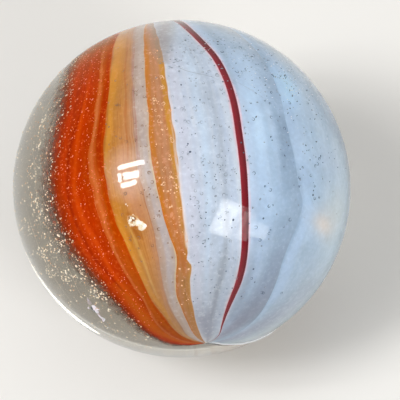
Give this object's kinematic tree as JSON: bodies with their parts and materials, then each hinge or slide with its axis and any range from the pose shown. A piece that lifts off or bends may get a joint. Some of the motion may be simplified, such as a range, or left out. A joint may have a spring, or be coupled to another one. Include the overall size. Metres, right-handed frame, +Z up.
{
  "type": "glass marble",
  "caption": "Round playing marble: clear glass fused with ribbons of white opal, vermilion, amber and dark red glass running from pole to pole.",
  "frame": {"origin": "centre of the ball", "axes": "+Z up, -Y towards the front cut-off mark where the ribbons meet, +X towards the opal side"},
  "size_m": [0.016, 0.016, 0.016],
  "materials": {
    "glass": "polished glass with small surface chips and fine seeds"
  },
  "bodies": {
    "root": {"marble": "glass"}
  },
  "joints": []
}
